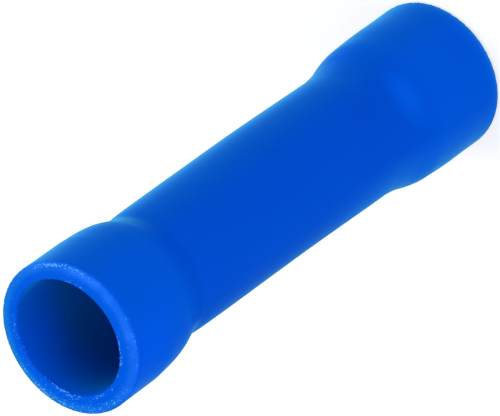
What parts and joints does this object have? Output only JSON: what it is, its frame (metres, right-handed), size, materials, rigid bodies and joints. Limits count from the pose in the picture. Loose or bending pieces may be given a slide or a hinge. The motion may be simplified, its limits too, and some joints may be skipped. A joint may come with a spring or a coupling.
{
  "type": "butt splice connector",
  "caption": "Insulated butt splice connector: a tinned copper crimp barrel with a wire stop at mid-length, inside a blue vinyl sleeve flared into a mouth at each end.",
  "frame": {"origin": "centre of the lower cut end of the sleeve, on the connector's axis", "axes": "+Z along the connector's axis from the end it stands on to the other end; +X towards the side of the barrel that the wire stop is punched in from; the two ends are alike"},
  "size_m": [0.0064, 0.0064, 0.025],
  "materials": {
    "blue_vinyl": "satin soft vinyl, smooth with faint moulding ripples",
    "tinned_copper": "satin electro-tinned copper"
  },
  "bodies": {
    "root": {"insulation_sleeve": "blue_vinyl", "conductor_barrel": "tinned_copper"}
  },
  "joints": []
}
